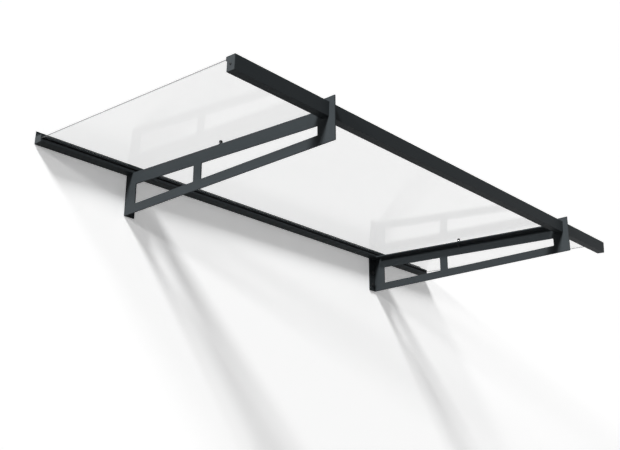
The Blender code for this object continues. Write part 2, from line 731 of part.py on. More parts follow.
def make_wall_screws(looks):
    washer_seat = PLATE_THICKNESS + CLEARANCE
    head_seat = washer_seat + WALL_WASHER_THICKNESS + CLEARANCE
    disc = washer("wall_washer", WALL_WASHER_RADIUS, WALL_SCREW_RADIUS + CLEARANCE, WALL_WASHER_THICKNESS)
    head, shank = hexagon(WALL_SCREW_HEAD_ACROSS), circle((0, 0), WALL_SCREW_RADIUS)
    screw = mesh_of("wall_screw", prism(head, WALL_SCREW_HEAD_HEIGHT, 0, lugs=[shank], lug_end=-head_seat))
    for label, side in SIDES.items():
        x = side * (BRACKET_OUTER - WALL_SCREW_FROM_OUTER_FACE)
        for level, height in zip(("lower", "upper"), WALL_SCREW_HEIGHTS):
            z = BRACKET_BOTTOM + height
            disc_spot = Matrix.Translation((x, -washer_seat, z)) @ OUT_OF_WALL
            place(f"wall_washer_{label}_{level}", disc, looks["screw"], disc_spot, SMALL_EDGE_BEVEL)
            screw_spot = Matrix.Translation((x, -head_seat, z)) @ OUT_OF_WALL
            place(f"wall_screw_{label}_{level}", screw, looks["screw"], screw_spot, SMALL_EDGE_BEVEL)


def make_sheet_bolts(looks):
    """The stack at each bracket, from the top: bolt, rubber pad, sheet, spacer, flange, washer and nut."""
    bore = BOLT_RADIUS + CLEARANCE
    pad_seat = SHEET_TOP + CLEARANCE
    head_seat = pad_seat + BOLT_PAD_THICKNESS + CLEARANCE
    washer_seat = -PLATE_THICKNESS - CLEARANCE - NUT_WASHER_THICKNESS
    nut_seat = washer_seat - CLEARANCE - NUT_HEIGHT
    length = head_seat - nut_seat + BOLT_END
    spacer_height = SHEET_LIFT - 2 * CLEARANCE
    bolt = socket_head_screw(
        "sheet_bolt", BOLT_HEAD_RADIUS, BOLT_HEAD_HEIGHT, BOLT_RADIUS, length, BOLT_SOCKET_ACROSS
    )
    pad = washer("bolt_pad", BOLT_PAD_RADIUS, bore, BOLT_PAD_THICKNESS)
    spacer = washer("sheet_spacer", SPACER_RADIUS, bore, spacer_height)
    disc = washer("nut_washer", NUT_WASHER_RADIUS, bore, NUT_WASHER_THICKNESS)
    nut = mesh_of("flange_nut", prism(hexagon(NUT_ACROSS), 0, NUT_HEIGHT, [circle((0, 0), bore)]))
    stack = (
        ("sheet_bolt", bolt, "screw", head_seat, 0.0),
        ("bolt_pad", pad, "seal", pad_seat, SMALL_EDGE_BEVEL),
        ("sheet_spacer", spacer, "seal", CLEARANCE, SMALL_EDGE_BEVEL),
        ("nut_washer", disc, "screw", washer_seat, SMALL_EDGE_BEVEL),
        ("flange_nut", nut, "screw", nut_seat, SMALL_EDGE_BEVEL),
    )
    for label, side in SIDES.items():
        for name, mesh, look, height, bevel in stack:
            spot = SLOPE @ Matrix.Translation((BOLT_FROM_WALL, bolt_x(side), height))
            place(f"{name}_{label}", mesh, looks[look], spot, bevel)


def main():
    for item in list(bpy.data.objects):
        bpy.data.objects.remove(item)
    looks = finishes()
    make_wall_rail(looks)
    make_rail_screws(looks)
    make_rail_caps(looks)
    make_rail_seal(looks)
    make_sheet(looks)
    make_beam_seal(looks)
    make_beam(looks)
    make_beam_caps(looks)
    make_cap_screws(looks)
    make_brackets(looks)
    make_wall_screws(looks)
    make_sheet_bolts(looks)


main()
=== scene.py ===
"""The looks of the door canopy: finishes, fasteners with their threads, stage, light and camera.

Metres, +Z up. The wall is the plane Y = 0 and the canopy stands out of it towards -Y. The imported
model is the frame, and everything here takes its size and place from it.
"""

import logging
from collections.abc import Iterable, Sequence
from dataclasses import dataclass
from enum import Enum
from math import cos, pi, radians, sin, tan

import bmesh
import bpy
from mathutils import Euler, Matrix, Vector


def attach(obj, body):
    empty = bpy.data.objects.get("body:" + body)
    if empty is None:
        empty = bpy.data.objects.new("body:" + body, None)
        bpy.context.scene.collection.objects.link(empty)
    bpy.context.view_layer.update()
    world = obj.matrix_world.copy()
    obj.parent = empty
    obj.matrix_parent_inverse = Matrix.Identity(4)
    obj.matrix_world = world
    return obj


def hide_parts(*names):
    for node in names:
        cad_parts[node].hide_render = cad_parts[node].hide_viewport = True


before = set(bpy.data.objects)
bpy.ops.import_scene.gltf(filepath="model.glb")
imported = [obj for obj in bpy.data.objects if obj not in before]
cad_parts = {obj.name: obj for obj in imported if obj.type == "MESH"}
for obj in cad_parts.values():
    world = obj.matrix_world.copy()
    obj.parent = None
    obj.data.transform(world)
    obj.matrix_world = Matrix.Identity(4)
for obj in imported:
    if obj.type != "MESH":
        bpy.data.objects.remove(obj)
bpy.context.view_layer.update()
LOG = logging.getLogger("door_canopy")

ENDS = ("left", "right")
LEVELS = ("lower", "upper")
FALL_ANGLE = radians(2.9)

# Round pieces have this many sides, and their edges stay crisp past this angle.
ROUND_STEPS = 48
SHARP_ANGLE = radians(32)

# A chamfered hexagon keeps a round face of this share of its width, and falls off it at this slope.
FLAT_SHARE = 0.97
CHAMFER_SLOPE = tan(radians(30))

# A recess closes in a tip of this share of its width.
RECESS_TIP_SHARE = 0.05

# The pieces of a washer's rolled edge, and the degrees of each piece of a rubber ring's bulge.
ROLL_STEPS = 4
BULGE_STEP = 15

WHITE = (1.0, 1.0, 1.0)
ANTHRACITE = (0.031, 0.036, 0.039)

Colour = tuple[float, float, float]
Way = tuple[float, float, float]
Ring = list[tuple[float, float]]


class Slot(Enum):
    """The names of two material slots: the seal rubber and the screw metal."""

    SEAL_RUBBER = "seal_rubber"
    SCREW_METAL = "screw_metal"


class Turn(Enum):
    """How a fastener stands in the canopy: its head faces its own +Z."""

    OFF_ROOF = Matrix.Rotation(FALL_ANGLE, 3, "X")
    OFF_WALL = Matrix.Rotation(pi / 2, 3, "X")
    TO_LEFT = Matrix.Rotation(-pi / 2, 3, "Y")
    TO_RIGHT = Matrix.Rotation(pi / 2, 3, "Y")


class Socket:
    """A shader socket that can stand in an expression.

    Numbers go through Math nodes and vectors through Vector Math.
    """

    def __init__(self, graph: "Graph", socket: bpy.types.NodeSocket) -> None:
        """Keeps the socket and the graph that it belongs to."""
        self.graph = graph
        self.socket = socket

    def _combine(self, operation: str, first: object, second: object) -> "Socket":
        """Adds the node that works out one operation.

        Args:
            operation: the name of the operation, as Math nodes have it.
            first: the left side, a value or a socket.
            second: the right side, a value or a socket.

        Returns:
            The node's result.
        """
        sides = (first, second)
        vectors = any(isinstance(side, Socket) and side.socket.type == "VECTOR" for side in sides)
        kind = "ShaderNodeVectorMath" if vectors else "ShaderNodeMath"
        return self.graph.node(kind, {"operation": operation}, {0: first, 1: second})

    def __add__(self, other: object) -> "Socket":
        """This plus the other."""
        return self._combine("ADD", self, other)

    def __radd__(self, other: object) -> "Socket":
        """The other plus this."""
        return self._combine("ADD", other, self)

    def __sub__(self, other: object) -> "Socket":
        """This less the other."""
        return self._combine("SUBTRACT", self, other)

    def __rsub__(self, other: object) -> "Socket":
        """The other less this."""
        return self._combine("SUBTRACT", other, self)

    def __mul__(self, other: object) -> "Socket":
        """This times the other."""
        return self._combine("MULTIPLY", self, other)

    def __rmul__(self, other: object) -> "Socket":
        """The other times this."""
        return self._combine("MULTIPLY", other, self)

    def __pow__(self, power: float) -> "Socket":
        """This to the power."""
        return self._combine("POWER", self, power)

    def __abs__(self) -> "Socket":
        """This without its sign."""
        return self._combine("ABSOLUTE", self, 0.0)

    def over(self, limit: float) -> "Socket":
        """1 where this is over the limit, 0 elsewhere."""
        return self._combine("GREATER_THAN", self, limit)

    def either(self, other: "Socket") -> "Socket":
        """The larger of the two, so that masks add up to no more than 1."""
        return self._combine("MAXIMUM", self, other)


@dataclass(frozen=True)
class Relief:
    """How far a fine grain rises, in metres, and how strongly it tilts the light."""

    depth: float
    strength: float


class Graph:
    """The node tree of a material or of the world."""

    def __init__(self, tree: bpy.types.NodeTree) -> None:
        """Empties the tree."""
        self.tree = tree
        tree.nodes.clear()

    def node(
        self,
        kind: str,
        settings: dict[str, object] | None = None,
        sockets: dict[str | int, object] | None = None,
        output: str | int = 0,
    ) -> Socket | None:
        """Adds any node: its settings first, then the values or links of its sockets.

        Args:
            kind: the node's Blender type.
            settings: attributes of the node.
            sockets: what goes into its inputs, by name or number. Colours have three parts.
            output: which output to return, by name or number.

        Returns:
            The chosen output, or None for a node that has no output.
        """
        made = self.tree.nodes.new(kind)
        for name, value in (settings or {}).items():
            setattr(made, name, value)
        for name, value in (sockets or {}).items():
            entry = made.inputs[name]
            if isinstance(value, Socket):
                self.tree.links.new(value.socket, entry)
            elif entry.type == "RGBA":
                entry.default_value = (*value, 1.0)
            else:
                entry.default_value = value
        return Socket(self, made.outputs[output]) if len(made.outputs) else None

    def noise(self, place: Socket, grain: float, detail: float = 2.0) -> Socket:
        """Cloudy noise from 0 to 1.

        Args:
            place: where to read it, in metres.
            grain: the size of a cloud, in metres.
            detail: how many finer layers lie on it.

        Returns:
            The noise's value.
        """
        sockets = {"Vector": place, "Scale": 1 / grain, "Detail": detail}
        return self.node("ShaderNodeTexNoise", None, sockets)

    def blend(self, factor: Socket, first: Colour, second: Colour) -> Socket:
        """A colour between the two."""
        sockets = {0: factor, 6: first, 7: second}
        return self.node("ShaderNodeMix", {"data_type": "RGBA"}, sockets, 2)

    def mix(self, factor: Socket | float, first: Socket, second: Socket) -> Socket:
        """A shader between the two."""
        return self.node("ShaderNodeMixShader", None, {0: factor, 1: first, 2: second})

    def bump(self, height: Socket, relief: Relief) -> Socket:
        """A normal tilted by the height, which goes from 0 to 1."""
        sockets = {"Height": height, "Distance": relief.depth, "Strength": relief.strength}
        return self.node("ShaderNodeBump", None, sockets)

    def axis(self, vector: Socket, name: str) -> Socket:
        """One part of a vector: "X", "Y" or "Z"."""
        return self.node("ShaderNodeSeparateXYZ", None, {0: vector}, name)

    def clear(self, tint: Colour = WHITE) -> Socket:
        """A shader that lets light straight through."""
        return self.node("ShaderNodeBsdfTransparent", None, {"Color": tint})

    def principled(self, sockets: dict[str, object]) -> Socket:
        """A Principled shader with these sockets."""
        return self.node("ShaderNodeBsdfPrincipled", None, sockets)

    def ray(self, *kinds: str) -> Socket:
        """A mask of rays.

        Args:
            *kinds: the kinds of ray, such as "Is Camera Ray".

        Returns:
            1 for rays of any of these kinds, 0 for others.
        """
        first, *others = (self.node("ShaderNodeLightPath", None, None, kind) for kind in kinds)
        for other in others:
            first = first.either(other)
        return first

    def seen(self) -> Socket:
        """1 for rays that show a thing as it is: seen straight, in a mirror or through a clear piece."""
        return self.ray("Is Camera Ray", "Is Glossy Ray", "Is Transmission Ray")


def scaled(colour: Colour, times: float) -> Colour:
    """The colour, so many times as bright."""
    return tuple(part * times for part in colour)


def swing(middle: float | Socket, reach: float, noise: Socket) -> Socket:
    """A value that noise moves about its middle, over the whole reach."""
    return middle + reach * (noise - 0.5)


def new_material(name: str) -> tuple[bpy.types.Material, Graph]:
    """Starts a material.

    Args:
        name: its name.

    Returns:
        The material and its empty graph.
    """
    material = bpy.data.materials.new(name)
    material.use_nodes = True
    return material, Graph(material.node_tree)


def show(graph: Graph, surface: Socket) -> None:
    """Sends a shader to the material's output."""
    graph.node("ShaderNodeOutputMaterial", None, {"Surface": surface})


@dataclass(frozen=True)
class Finish:
    """A finish of the canopy, drawn in the piece's own metres."""

    name: str

    def surface(self, graph: Graph, place: Socket) -> Socket:
        """The finish's shader. Every finish has its own.

        Args:
            graph: the material's graph.
            place: the place on the piece, in metres.

        Returns:
            The shader.
        """
        raise NotImplementedError

    def material(self) -> bpy.types.Material:
        """Builds the finish.

        Returns:
            The material.
        """
        material, graph = new_material(self.name)
        place = graph.node("ShaderNodeTexCoord", None, None, "Object")
        show(graph, self.surface(graph, place))
        return material


@dataclass(frozen=True)
class PowderCoat(Finish):
    """A satin powder coat: a fine melted grain over a slow orange peel."""

    roughness: float
    grain: float
    relief: Relief
    colour: Colour = ANTHRACITE
    ripple: float = 0.006
    ripple_share: float = 0.35
    cloud: float = 0.25
    shade: float = 0.10
    grain_gloss: float = 0.12
    cloud_gloss: float = 0.06
    specular: float = 0.03

    def surface(self, graph: Graph, place: Socket) -> Socket:
        """The coat's shader.

        Args:
            graph: the material's graph.
            place: the place on the piece, in metres.

        Returns:
            The shader.
        """
        grain = graph.noise(place, self.grain)
        ripple = graph.noise(place, self.ripple)
        cloud = graph.noise(place, self.cloud)
        mottle = 0.5 * cloud + 0.5 * grain
        height = (1 - self.ripple_share) * grain + self.ripple_share * ripple
        dark = scaled(self.colour, 1 - self.shade)
        light = scaled(self.colour, 1 + self.shade)
        roughness = swing(self.roughness, self.grain_gloss, grain)
        return graph.principled(
            {
                "Base Color": graph.blend(mottle, dark, light),
                "Roughness": swing(roughness, self.cloud_gloss, cloud),
                "Specular IOR Level": self.specular,
                "Normal": graph.bump(height, self.relief),
            }
        )


@dataclass(frozen=True)
class ClearAcrylic(Finish):
    """Clear cast sheet with sawn ends and clear drilled holes.

    It mirrors more at a slant. Its top faces a plain sky, so little of the mirror is kept there.
    """

    tint: Colour = (0.932, 0.933, 0.933)
    mirror_square_on: float = 0.016
    mirror_at_grazing: float = 0.40
    mirror_power: float = 5.0
    top_calm: float = 0.97
    lying_over: float = 0.75
    roughness: float = 0.03
    wave: float = 0.18
    wave_gloss: float = 0.02
    wave_relief: Relief = Relief(0.0004, 0.4)
    edge_colour: Colour = (0.05, 0.052, 0.052)
    edge_cover: float = 0.6
    edge_roughness: float = 0.42
    sawn_beyond: float = 0.9
    saw_pitch: float = 0.0012
    saw_shade: float = 0.14
    saw_gloss: float = 0.2
    saw_relief: Relief = Relief(0.00012, 0.6)

    def pane(self, graph: Graph, place: Socket, up: Socket) -> Socket:
        """The sheet's faces: clear, with a mirror over them.

        Args:
            graph: the material's graph.
            place: the place on the sheet, in metres.
            up: how far the side that is looked at faces up.

        Returns:
            The shader.
        """
        facing = graph.node("ShaderNodeLayerWeight", None, {"Blend": 0.5}, "Facing")
        gain = self.mirror_at_grazing - self.mirror_square_on
        slant = self.mirror_square_on + gain * facing**self.mirror_power
        share = slant * (1 - self.top_calm * up.over(self.lying_over))
        wave = graph.noise(place, self.wave, detail=1.0)
        mirror = graph.principled(
            {
                "Base Color": WHITE,
                "Metallic": 1.0,
                "Roughness": self.roughness + self.wave_gloss * wave,
                "Normal": graph.bump(wave, self.wave_relief),
            }
        )
        return graph.mix(share, graph.clear(self.tint), mirror)

    def sawn(self, graph: Graph, place: Socket) -> Socket:
        """The sawn ends: a dark matt film that is partly clear.

        Args:
            graph: the material's graph.
            place: the place on the sheet, in metres.

        Returns:
            The shader.
        """
        saw = graph.noise(place, self.saw_pitch, detail=3.0)
        dark = scaled(self.edge_colour, 1 - self.saw_shade)
        film = graph.principled(
            {
                "Base Color": graph.blend(saw, dark, self.edge_colour),
                "Roughness": self.edge_roughness + self.saw_gloss * saw,
                "Normal": graph.bump(saw, self.saw_relief),
            }
        )
        return graph.mix(self.edge_cover, graph.clear(self.tint), film)

    def surface(self, graph: Graph, place: Socket) -> Socket:
        """The sheet's shader.

        Args:
            graph: the material's graph.
            place: the place on the sheet, in metres.

        Returns:
            The shader.
        """
        normal = graph.node("ShaderNodeNewGeometry", None, None, "True Normal")
        up = graph.axis(normal, "Z")
        standing = 1 - abs(up).over(self.lying_over)
        edge = standing * abs(graph.axis(place, "X")).over(self.sawn_beyond)
        return graph.mix(edge, self.pane(graph, place, up), self.sawn(graph, place))


@dataclass(frozen=True)
class MouldedPlastic(Finish):
    """Matt moulded plastic with the fine grain of a spark-eroded mould."""

    colour: Colour = (0.034, 0.039, 0.042)
    roughness: float = 0.55
    grain: float = 0.0007
    grain_gloss: float = 0.1
    flow: float = 0.02
    flow_shade: float = 0.1
    specular: float = 0.10
    relief: Relief = Relief(0.00006, 0.6)

    def surface(self, graph: Graph, place: Socket) -> Socket:
        """The plastic's shader.

        Args:
            graph: the material's graph.
            place: the place on the piece, in metres.

        Returns:
            The shader.
        """
        grain = graph.noise(place, self.grain, detail=3.0)
        flow = graph.noise(place, self.flow)
        dark = scaled(self.colour, 1 - self.flow_shade)
        return graph.principled(
            {
                "Base Color": graph.blend(flow, dark, self.colour),
                "Roughness": swing(self.roughness, self.grain_gloss, grain),
                "Specular IOR Level": self.specular,
                "Normal": graph.bump(grain, self.relief),
            }
        )


@dataclass(frozen=True)
class Rubber(Finish):
    """Black extruded rubber, with fine lines drawn along it by the die and a pale bloom."""

    colour: Colour = (0.008, 0.008, 0.009)
    roughness: float = 0.7
    line_pitch: float = 0.0004
    line_stretch: Way = (0.01, 1.0, 1.0)
    bloom: float = 0.03
    bloom_light: float = 1.7
    bloom_gloss: float = 0.12
    specular: float = 0.10
    relief: Relief = Relief(0.00008, 0.5)

    def surface(self, graph: Graph, place: Socket) -> Socket:
        """The rubber's shader.

        Args:
            graph: the material's graph.
            place: the place on the piece, in metres.

        Returns:
            The shader.
        """
        lines = graph.noise(place * self.line_stretch, self.line_pitch, detail=1.0)
        bloom = graph.noise(place, self.bloom)
        pale = scaled(self.colour, self.bloom_light)
        return graph.principled(
            {
                "Base Color": graph.blend(bloom, self.colour, pale),
                "Roughness": swing(self.roughness, self.bloom_gloss, bloom),
                "Specular IOR Level": self.specular,
                "Normal": graph.bump(lines, self.relief),
            }
        )


@dataclass(frozen=True)
class BlackenedSteel(Finish):
    """Blackened screw steel: dark, a little metallic, mottled by the bath."""

    colour: Colour = (0.014, 0.015, 0.016)
    roughness: float = 0.42
    metallic: float = 0.2
    specular: float = 0.2
    mottle: float = 0.0016
    mottle_gloss: float = 0.16
    worn_light: float = 1.5
    turning: float = 0.0003
    relief: Relief = Relief(0.00003, 0.4)

    def surface(self, graph: Graph, place: Socket) -> Socket:
        """The steel's shader.

        Args:
            graph: the material's graph.
            place: the place on the piece, in metres.

        Returns:
            The shader.
        """
        mottle = graph.noise(place, self.mottle, detail=3.0)
        turning = graph.noise(place, self.turning)
        worn = scaled(self.colour, self.worn_light)
        return graph.principled(
            {
                "Base Color": graph.blend(mottle, self.colour, worn),
                "Metallic": self.metallic,
                "Roughness": swing(self.roughness, self.mottle_gloss, mottle),
                "Specular IOR Level": self.specular,
                "Normal": graph.bump(turning, self.relief),
            }
        )


@dataclass(frozen=True)
class Finishes:
    """The materials that the canopy's pieces wear."""

    profile: bpy.types.Material
    plate: bpy.types.Material
    sheet: bpy.types.Material
    cap: bpy.types.Material
    seal: bpy.types.Material
    screw: bpy.types.Material

    @classmethod
    def mixed(cls) -> "Finishes":
        """Builds every finish.

        Returns:
            The finishes.
        """
        return cls(
            profile=PowderCoat("profile_powder_coat", 0.46, 0.0005, Relief(0.00004, 0.5)).material(),
            plate=PowderCoat("bracket_powder_coat", 0.52, 0.0006, Relief(0.00006, 0.5)).material(),
            sheet=ClearAcrylic("clear_acrylic").material(),
            cap=MouldedPlastic("cap_plastic").material(),
            seal=Rubber("seal_rubber").material(),
            screw=BlackenedSteel("blackened_steel").material(),
        )


@dataclass(frozen=True)
class Seat:
    """A CAD node's place and size, measured along its own axes."""

    node: str
    turn: Turn

    def corners(self) -> tuple[Vector, Vector]:
        """Measures the node.

        Returns:
            Its lowest and highest corners in its own axes.
        """
        back = self.turn.value.inverted()
        places = [back @ corner.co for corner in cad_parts[self.node].data.vertices]
        low = Vector(min(place[axis] for place in places) for axis in range(3))
        high = Vector(max(place[axis] for place in places) for axis in range(3))
        return low, high

    def radius(self) -> float:
        """Half the node's width across its axis."""
        low, high = self.corners()
        return (high.x - low.x) / 2

    def matrix(self) -> Matrix:
        """Finds where a piece goes that is drawn on its own Z axis at the node's heights.

        Returns:
            The piece's place and turn.
        """
        low, high = self.corners()
        centre = Vector(((low.x + high.x) / 2, (low.y + high.y) / 2, 0))
        return self.turn.value.to_4x4() @ Matrix.Translation(centre)


def circle_ring(radius: float, height: float) -> Ring:
    """A ring of one radius and one height."""
    return [(radius, height)] * ROUND_STEPS


def circles(places: Iterable[tuple[float, float]]) -> list[Ring]:
    """A circle for each radius and height."""
    return [circle_ring(radius, height) for radius, height in places]


def flat_radius(across_flats: float) -> float:
    """The radius of the round face that a chamfer leaves on a hexagon."""
    return across_flats / 2 * FLAT_SHARE


def hexagon_radius(across_flats: float, step: int) -> float:
    """Finds how far a hexagon's side lies from its centre.

    Args:
        across_flats: the hexagon's width between two flats.
        step: the step of the turn.

    Returns:
        The distance.
    """
    sixth = ROUND_STEPS // 6
    off_flat = 2 * pi * (step % sixth - sixth / 2) / ROUND_STEPS
    return across_flats / 2 / cos(off_flat)


def hexagon_ring(across_flats: float, height: float, slope: float = 0.0) -> Ring:
    """A hexagon's outline, cut by a cone where it has a slope.

    Args:
        across_flats: the hexagon's width between two flats.
        height: the height of the face that the cone starts from.
        slope: the cone's slope, below 0 for one that falls away from a top face.

    Returns:
        The ring.
    """
    ring = []
    for step in range(ROUND_STEPS):
        radius = hexagon_radius(across_flats, step)
        beyond_flat = radius - flat_radius(across_flats)
        ring.append((radius, height + slope * beyond_flat))
    return ring


def arc(centre: tuple[float, float], radius: float, start: float, end: float) -> Ring:
    """Rounds a washer's edge.

    Args:
        centre: the arc's middle, as a radius and a height.
        radius: the arc's own radius.
        start: the angle that it starts at, in degrees.
        end: the angle that it ends at.

    Returns:
        Its points, both ends included.
    """
    angles = [radians(start + (end - start) * step / ROLL_STEPS) for step in range(ROLL_STEPS + 1)]
    return [(centre[0] + radius * cos(angle), centre[1] + radius * sin(angle)) for angle in angles]


@dataclass(frozen=True)
class Thread:
    """A screw thread of a given outer radius, which starts plain and gets deep in its first turn."""

    radius: float
    pitch: float
    depth: float
    rings_per_turn: int = 8

    def rings(self, start: float, end: float) -> list[Ring]:
        """The rings of the thread from one height down to a lower one.

        Args:
            start: the higher end.
            end: the lower end.

        Returns:
            The rings, from the top.
        """
        count = round((start - end) / self.pitch * self.rings_per_turn)
        rings = []
        for index in range(count + 1):
            height = start - (start - end) * index / count
            fade = min(1.0, (start - height) / self.pitch)
            ring = []
            for step in range(ROUND_STEPS):
                turn = height / self.pitch - step / ROUND_STEPS
                valley = abs(2 * (turn % 1.0) - 1)
                ring.append((self.radius - self.depth * valley * fade, height))
            rings.append(ring)
        return rings


@dataclass(frozen=True)
class Recess:
    """A hexagon recess for a key: its width, the heights of its floor and tip, and its mouth's bevel."""

    across: float
    floor: float
    tip: float
    bevel: float


@dataclass(frozen=True)
class DomedHead:
    """A domed screw head with a recess. Heights are on the screw's axis."""

    radius: float
    top: float
    rim: float
    under: float
    crown: float
    edge: float
    steps: int
    recess: Recess

    def rings(self) -> list[Ring]:
        """Goes from the recess's tip up and over the dome to the head's underside.

        Returns:
            The rings.
        """
        recess = self.recess
        rings = [
            hexagon_ring(recess.across * RECESS_TIP_SHARE, recess.tip),
            hexagon_ring(recess.across, recess.floor),
            hexagon_ring(recess.across, self.top - recess.bevel),
            circle_ring(self.crown, self.top),
        ]
        for step in range(1, self.steps + 1):
            angle = pi / 2 * step / self.steps
            radius = self.crown + (self.radius - self.crown) * sin(angle)
            rings.append(circle_ring(radius, self.rim + (self.top - self.rim) * cos(angle)))
        return rings + circles([(self.radius, self.under + self.edge), (self.radius - self.edge, self.under)])


def lofted(node: str, rings: Sequence[Ring], joined: bool = False) -> bpy.types.Mesh:
    """A closed mesh through rings about local Z, smooth but for its sharp edges.

    Args:
        node: the CAD node that the mesh is for.
        rings: the rings, each with one point for each step round the axis.
        joined: True for a piece with a bore, whose last ring joins its first.

    Returns:
        The mesh, with its faces pointing out.
    """
    solid = bmesh.new()
    angles = [2 * pi * step / ROUND_STEPS for step in range(ROUND_STEPS)]
    loops = [
        [
            solid.verts.new((radius * cos(angle), radius * sin(angle), height))
            for angle, (radius, height) in zip(angles, ring)
        ]
        for ring in rings
    ]
    pairs = list(zip(loops, loops[1:]))
    if joined:
        pairs.append((loops[-1], loops[0]))
    else:
        solid.faces.new(loops[0])
        solid.faces.new(loops[-1])
    for upper, lower in pairs:
        for step in range(ROUND_STEPS):
            solid.faces.new((upper[step - 1], upper[step], lower[step], lower[step - 1]))
    bmesh.ops.recalc_face_normals(solid, faces=solid.faces[:])
    mesh = bpy.data.meshes.new(f"{node}_mesh")
    solid.to_mesh(mesh)
    solid.free()
    mesh.shade_smooth()
    mesh.set_sharp_from_angle(angle=SHARP_ANGLE)
    return mesh


def washer(seat: Seat, bore: float, edge: float = 0.0003) -> bpy.types.Mesh:
    """A stamped steel washer, rolled at its outer edge.

    Args:
        seat: the CAD washer's seat.
        bore: the radius of its hole.
        edge: the radius of its rolled edge.

    Returns:
        The mesh.
    """
    low, high = seat.corners()
    rim = seat.radius() - edge
    bevel = edge / 2
    places = [(bore, low.z + bevel), (bore, high.z - bevel), (bore + bevel, high.z)]
    places += arc((rim, high.z - edge), edge, 90, 0)
    places += arc((rim, low.z + edge), edge, 0, -90)
    places.append((bore + bevel, low.z))
    return lofted(seat.node, circles(places), joined=True)


def cushion(seat: Seat, bore: float, bulge: float) -> bpy.types.Mesh:
    """A rubber ring that bulges a little where it is squeezed.

    Args:
        seat: the CAD ring's seat.
        bore: the radius of its hole.
        bulge: how far its side stands out in the middle.

    Returns:
        The mesh.
    """
    low, high = seat.corners()
    rim = seat.radius() - bulge
    middle = (low.z + high.z) / 2
    half = (high.z - low.z) / 2
    angles = [radians(degrees) for degrees in range(90, -91, -BULGE_STEP)]
    places = [(bore, low.z), (bore, high.z)]
    places += [(rim + bulge * cos(angle), middle + half * sin(angle)) for angle in angles]
    return lofted(seat.node, circles(places), joined=True)


def stand_in(seat: Seat, mesh: bpy.types.Mesh, look: bpy.types.Material) -> None:
    """Puts a detailed piece in the place of a CAD node, which it hides.

    Args:
        seat: where the node sits.
        mesh: the detailed mesh, drawn on its own Z axis.
        look: the material.
    """
    mesh.materials.append(look)
    piece = bpy.data.objects.new(f"{seat.node}_detail", mesh)
    bpy.context.collection.objects.link(piece)
    piece.matrix_world = seat.matrix()
    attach(piece, "root")
    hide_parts(seat.node)
    LOG.info("%s stands for %s", piece.name, seat.node)


def dress(nodes: Iterable[str], look: bpy.types.Material) -> None:
    """Gives CAD nodes a finish, and leaves their meshes as they are.

    Args:
        nodes: the nodes' names.
        look: the material.
    """
    for name in nodes:
        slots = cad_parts[name].material_slots
        for slot in slots:
            slot.material = look
        LOG.info("%s has %s in %d slots", name, look.name, len(slots))


@dataclass
class Framework:
    """The wall rail, the front beam and the brackets, with the rail's and the beam's end caps."""

    finishes: Finishes

    def build(self) -> None:
        """Dresses the framework's nodes."""
        dress(("wall_rail", "front_beam"), self.finishes.profile)
        dress([f"bracket_{end}" for end in ENDS], self.finishes.plate)
        dress([f"{part}_end_cap_{end}" for part in ("rail", "beam") for end in ENDS], self.finishes.cap)


@dataclass
class Roof:
    """The clear sheet and the two rubber seals that grip its edges."""

    finishes: Finishes

    def build(self) -> None:
        """Dresses the sheet and the seals."""
        dress(("clear_sheet",), self.finishes.sheet)
        dress(("rail_seal", "beam_seal"), self.finishes.seal)


